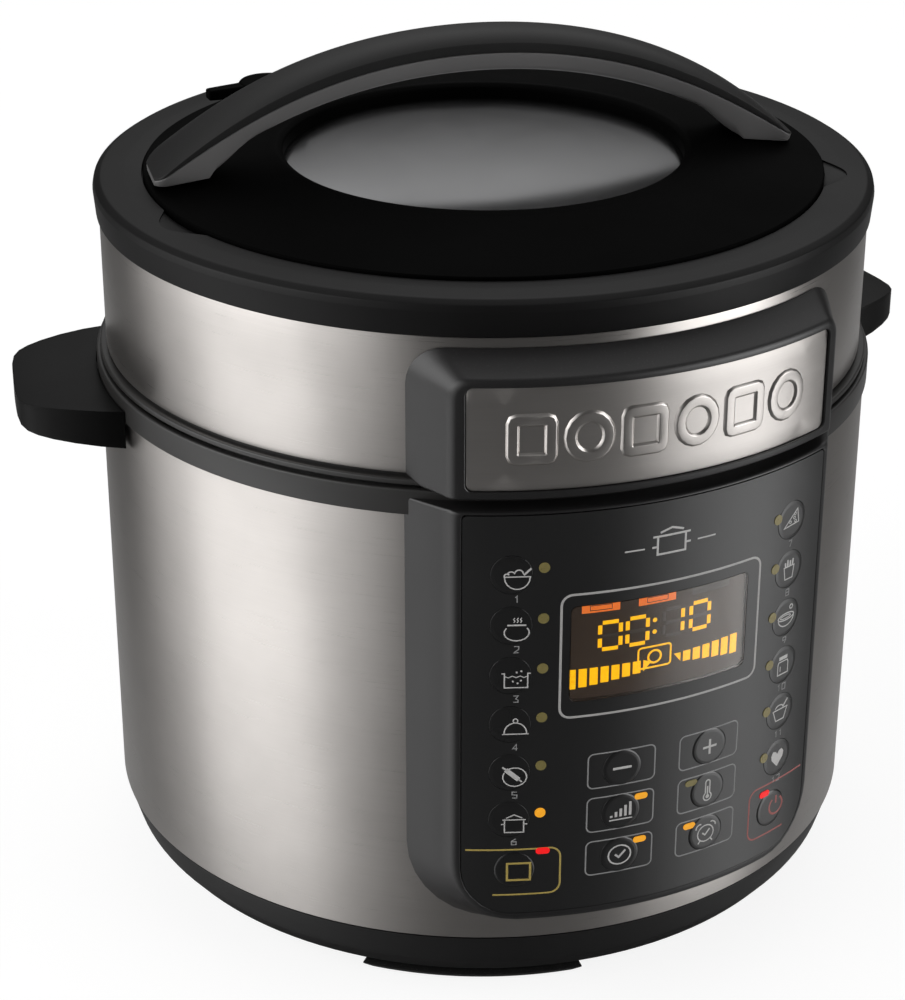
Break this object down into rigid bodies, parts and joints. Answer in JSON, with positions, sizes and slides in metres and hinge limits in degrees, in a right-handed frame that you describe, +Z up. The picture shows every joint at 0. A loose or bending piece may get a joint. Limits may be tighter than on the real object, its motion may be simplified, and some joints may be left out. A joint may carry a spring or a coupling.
{
  "type": "electric pressure cooker",
  "caption": "Round electric pressure cooker with a steel skin, a curved touch-key panel, side handles and a deep twist-and-lift lid with an arch handle.",
  "frame": {"origin": "on the pot's axis, on the surface that the feet stand on", "axes": "+Z up along the pot's axis, -Y towards the user, so the control panel faces -Y and +X is to the user's right"},
  "size_m": [0.3727, 0.3261, 0.3398],
  "materials": {
    "brushed_steel": "horizontally brushed",
    "dome_steel": "satin, nearly mirror",
    "aluminium": "satin",
    "satin_black": "satin",
    "matte_black": "matte, soft touch",
    "grey_band": "satin charcoal",
    "gloss_overlay": "glossy film",
    "button_film": "glossy embossed film",
    "smoked": "smoked clear",
    "circuit_board": "solder mask green",
    "silicone": "translucent silicone",
    "zinc": "bright plated",
    "float_red": "gloss"
  },
  "bodies": {
    "body": {"base_shell": "satin_black", "foot_1": "matte_black", "foot_2": "matte_black", "foot_3": "matte_black", "foot_4": "matte_black", "base_screw_1": "zinc", "base_screw_2": "zinc", "base_screw_3": "zinc", "body_skin": "brushed_steel", "body_band": "grey_band", "side_handle_left": "grey_band", "side_handle_right": "grey_band", "panel_housing": "satin_black", "control_overlay": "gloss_overlay", "switch_film": "circuit_board", "display_lens": "smoked", "display_module": "circuit_board", "outer_pot": "aluminium", "heating_plate": "aluminium", "sensor_spring": "zinc", "power_board": "circuit_board", "power_inlet": "satin_black"},
    "sensor": {"temperature_sensor": "aluminium"},
    "pot": {"inner_pot": "aluminium"},
    "inner_lid": {"inner_lid_plate": "aluminium", "sealing_gasket": "silicone", "plate_grommet": "silicone"},
    "lid": {"lid_lip_ring": "grey_band", "lid_skirt": "brushed_steel", "lid_ring": "satin_black", "lid_cover": "matte_black", "badge_housing": "satin_black", "badge_plate": "brushed_steel", "pressure_lid": "dome_steel", "valve_stem": "zinc", "handle_arch": "matte_black", "handle_cap": "matte_black"},
    "steam_valve": {"valve_knob": "matte_black"},
    "pressure_pin": {"float_valve": "float_red"},
    "cup": {"condensate_cup": "smoked"},
    "key_minus": {"button_minus": "button_film"},
    "key_level": {"button_level": "button_film"},
    "key_clock": {"button_clock": "button_film"},
    "key_plus": {"button_plus": "button_film"},
    "key_temperature": {"button_temperature": "button_film"},
    "key_delay": {"button_delay": "button_film"},
    "key_stop": {"button_stop": "button_film"},
    "key_power": {"button_power": "button_film"},
    "key_left_1": {"button_left_1": "button_film"},
    "key_right_1": {"button_right_1": "button_film"},
    "key_left_2": {"button_left_2": "button_film"},
    "key_right_2": {"button_right_2": "button_film"},
    "key_left_3": {"button_left_3": "button_film"},
    "key_right_3": {"button_right_3": "button_film"},
    "key_left_4": {"button_left_4": "button_film"},
    "key_right_4": {"button_right_4": "button_film"},
    "key_left_5": {"button_left_5": "button_film"},
    "key_right_5": {"button_right_5": "button_film"},
    "key_left_6": {"button_left_6": "button_film"},
    "key_right_6": {"button_right_6": "button_film"}
  },
  "joints": [
    {"name": "pot_lift", "type": "slide", "parent": "body", "child": "pot", "axis": [0, 0, 1], "range_m": [0, 0.19]},
    {"name": "lid_lift", "type": "slide", "parent": "pot", "child": "inner_lid", "axis": [0, 0, 1], "range_m": [0, 0.26]},
    {"name": "lid_twist", "type": "hinge", "parent": "inner_lid", "child": "lid", "pos_m": [0, 0, 0.25], "axis": [0, 0, 1], "range_deg": [-30, 0]},
    {"name": "valve_turn", "type": "hinge", "parent": "lid", "child": "steam_valve", "pos_m": [-0.05704, 0.08456, 0.29], "axis": [0, 0, 1], "range_deg": [0, 45]},
    {"name": "pressure_pin_rise", "type": "slide", "parent": "lid", "child": "pressure_pin", "axis": [0, 0, 1], "range_m": [0, 0.004]},
    {"name": "cup_pull", "type": "slide", "parent": "body", "child": "cup", "axis": [0, 1, 0], "range_m": [0, 0.035]},
    {"name": "sensor_press", "type": "slide", "parent": "body", "child": "sensor", "axis": [0, 0, 1], "range_m": [-0.003, 0], "stiffness_N_per_m": 300, "springref_m": 0.002, "deforming": ["sensor_spring"]},
    {"name": "press_minus", "type": "slide", "parent": "body", "child": "key_minus", "axis": [0.0924, 0.9957, 0], "range_m": [0, 0.0003], "stiffness_N_per_m": 1500},
    {"name": "press_level", "type": "slide", "parent": "body", "child": "key_level", "axis": [0.0924, 0.9957, 0], "range_m": [0, 0.0003], "stiffness_N_per_m": 1500},
    {"name": "press_clock", "type": "slide", "parent": "body", "child": "key_clock", "axis": [0.0924, 0.9957, 0], "range_m": [0, 0.0003], "stiffness_N_per_m": 1500},
    {"name": "press_plus", "type": "slide", "parent": "body", "child": "key_plus", "axis": [-0.1323, 0.9912, 0], "range_m": [0, 0.0003], "stiffness_N_per_m": 1500},
    {"name": "press_temperature", "type": "slide", "parent": "body", "child": "key_temperature", "axis": [-0.1323, 0.9912, 0], "range_m": [0, 0.0003], "stiffness_N_per_m": 1500},
    {"name": "press_delay", "type": "slide", "parent": "body", "child": "key_delay", "axis": [-0.1323, 0.9912, 0], "range_m": [0, 0.0003], "stiffness_N_per_m": 1500},
    {"name": "press_stop", "type": "slide", "parent": "body", "child": "key_stop", "axis": [0.3322, 0.9432, 0], "range_m": [0, 0.0003], "stiffness_N_per_m": 1500},
    {"name": "press_power", "type": "slide", "parent": "body", "child": "key_power", "axis": [-0.3322, 0.9432, 0], "range_m": [0, 0.0003], "stiffness_N_per_m": 1500},
    {"name": "press_left_1", "type": "slide", "parent": "body", "child": "key_left_1", "axis": [0.3453, 0.9385, 0], "range_m": [0, 0.0003], "stiffness_N_per_m": 1500},
    {"name": "press_right_1", "type": "slide", "parent": "body", "child": "key_right_1", "axis": [-0.3453, 0.9385, 0], "range_m": [0, 0.0003], "stiffness_N_per_m": 1500},
    {"name": "press_left_2", "type": "slide", "parent": "body", "child": "key_left_2", "axis": [0.3453, 0.9385, 0], "range_m": [0, 0.0003], "stiffness_N_per_m": 1500},
    {"name": "press_right_2", "type": "slide", "parent": "body", "child": "key_right_2", "axis": [-0.3453, 0.9385, 0], "range_m": [0, 0.0003], "stiffness_N_per_m": 1500},
    {"name": "press_left_3", "type": "slide", "parent": "body", "child": "key_left_3", "axis": [0.3453, 0.9385, 0], "range_m": [0, 0.0003], "stiffness_N_per_m": 1500},
    {"name": "press_right_3", "type": "slide", "parent": "body", "child": "key_right_3", "axis": [-0.3453, 0.9385, 0], "range_m": [0, 0.0003], "stiffness_N_per_m": 1500},
    {"name": "press_left_4", "type": "slide", "parent": "body", "child": "key_left_4", "axis": [0.3453, 0.9385, 0], "range_m": [0, 0.0003], "stiffness_N_per_m": 1500},
    {"name": "press_right_4", "type": "slide", "parent": "body", "child": "key_right_4", "axis": [-0.3453, 0.9385, 0], "range_m": [0, 0.0003], "stiffness_N_per_m": 1500},
    {"name": "press_left_5", "type": "slide", "parent": "body", "child": "key_left_5", "axis": [0.3453, 0.9385, 0], "range_m": [0, 0.0003], "stiffness_N_per_m": 1500},
    {"name": "press_right_5", "type": "slide", "parent": "body", "child": "key_right_5", "axis": [-0.3453, 0.9385, 0], "range_m": [0, 0.0003], "stiffness_N_per_m": 1500},
    {"name": "press_left_6", "type": "slide", "parent": "body", "child": "key_left_6", "axis": [0.3453, 0.9385, 0], "range_m": [0, 0.0003], "stiffness_N_per_m": 1500},
    {"name": "press_right_6", "type": "slide", "parent": "body", "child": "key_right_6", "axis": [-0.3453, 0.9385, 0], "range_m": [0, 0.0003], "stiffness_N_per_m": 1500}
  ]
}
